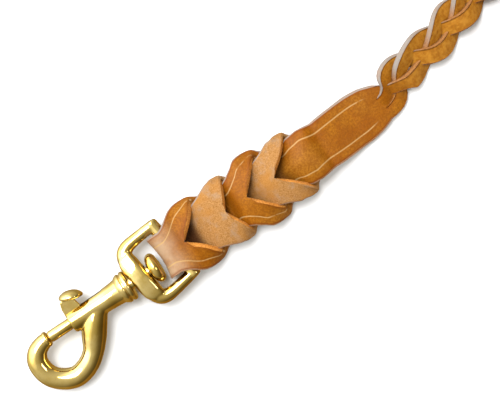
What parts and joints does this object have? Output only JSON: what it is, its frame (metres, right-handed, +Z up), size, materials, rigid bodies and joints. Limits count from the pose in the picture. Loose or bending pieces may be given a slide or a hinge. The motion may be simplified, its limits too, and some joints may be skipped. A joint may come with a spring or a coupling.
{
  "type": "braided leather lead with bolt snap",
  "caption": "Flat-plaited leather horse lead spliced through its own slits onto the swivel eye of a brass bolt snap, with the rest of the lead put away in a tied hank.",
  "frame": {"origin": "on the table under the middle of the snap, the splice and the flat strap", "axes": "+X along the lead from the snap towards the plait, +Z up from the table that the lead lies on, hook bulging towards -Y"},
  "size_m": [0.5338, 0.1237, 0.0293],
  "materials": {
    "brass": "polished solid brass with soft casting waves and darker hollows",
    "spring_steel": "drawn spring wire",
    "leather": "oiled golden-tan harness leather, smooth grain side, suede flesh side, raw cut edges and pale creased lines",
    "tie_leather": "thin flesh-side-out leather thong"
  },
  "bodies": {
    "lead": {"eye_fold": "leather", "main_strap": "leather", "tail_strap": "leather", "braid_run": "leather", "braid_hank": "leather", "hank_tie": "tie_leather", "lead_end": "leather"},
    "eye": {"swivel_eye": "brass"},
    "snap": {"snap_body": "brass", "swivel_stem": "brass", "bolt_spring": "spring_steel"},
    "bolt": {"snap_bolt": "brass", "thumb_knob": "brass"}
  },
  "joints": [
    {"name": "eye_pivot", "type": "hinge", "parent": "lead", "child": "eye", "pos_m": [-0.01763, 0.00547, 0.0079], "axis": [-0.1392, 0.9903, 0], "range_deg": [-50, 50]},
    {"name": "eye_swivel", "type": "hinge", "parent": "eye", "child": "snap", "pos_m": [-0.03853, 0.00253, 0.0079], "axis": [1, 0, 0], "continuous": true},
    {"name": "bolt_slide", "type": "slide", "parent": "snap", "child": "bolt", "axis": [1, 0, 0], "range_m": [0, 0.0124], "stiffness_N_per_m": 120, "springref_m": -0.006, "deforming": ["bolt_spring"]}
  ]
}
